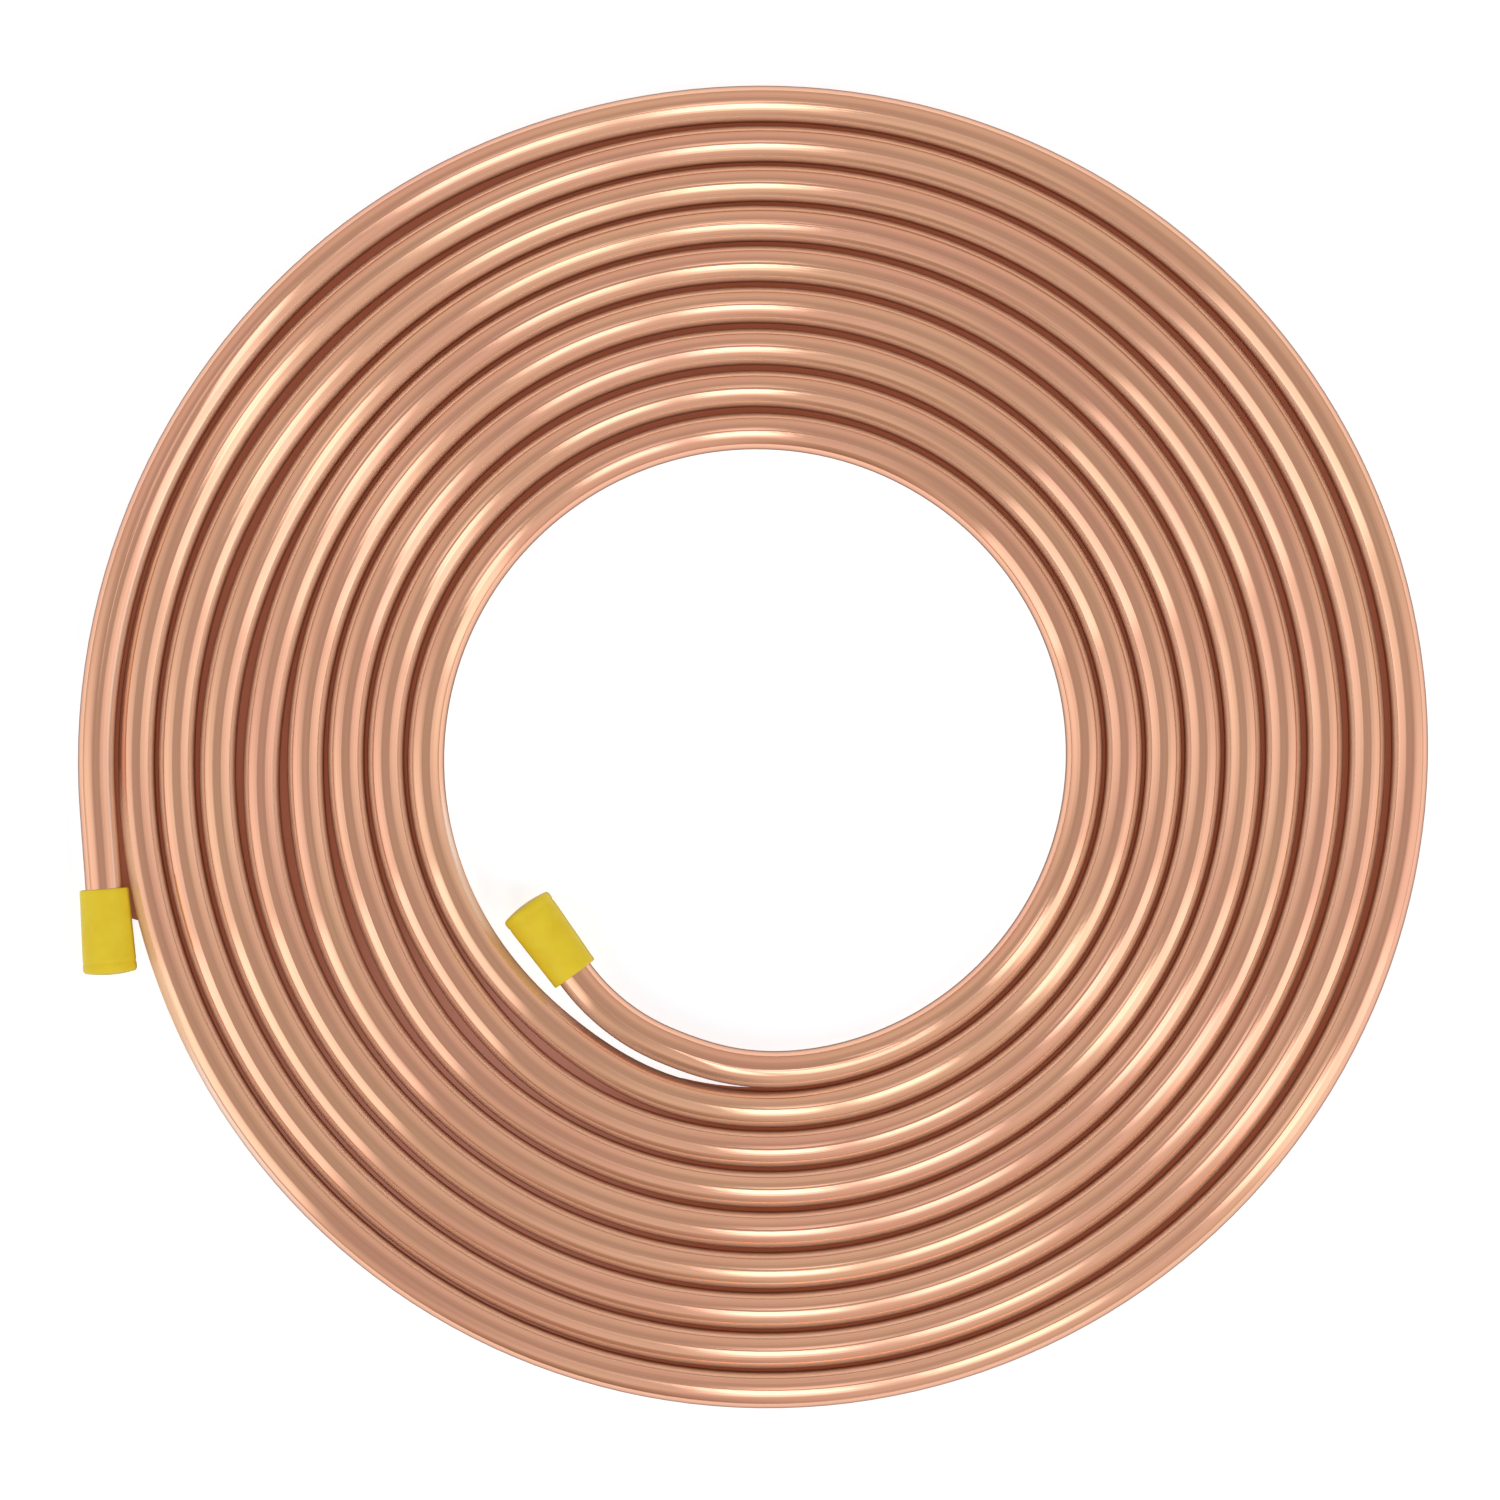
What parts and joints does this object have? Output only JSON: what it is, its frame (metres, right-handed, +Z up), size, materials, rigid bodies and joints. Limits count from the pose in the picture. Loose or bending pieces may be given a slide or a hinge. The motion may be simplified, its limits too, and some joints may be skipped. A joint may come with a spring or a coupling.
{
  "type": "copper tube coil",
  "caption": "Flat spiral coil of soft copper tube lying on the floor, with a push-on plastic cap on each end.",
  "frame": {"origin": "at floor level, under the middle of the coil's bounding box", "axes": "+Z up through the flat coil; the outer end cap lies on the -X side and points to -Y"},
  "size_m": [0.3464, 0.3394, 0.0139],
  "materials": {
    "copper": "bright drawn copper with light handling marks",
    "cap_vinyl": "satin dip-moulded soft vinyl, yellow"
  },
  "bodies": {
    "root": {"copper_tube": "copper", "outer_end_cap": "cap_vinyl", "inner_end_cap": "cap_vinyl"}
  },
  "joints": []
}
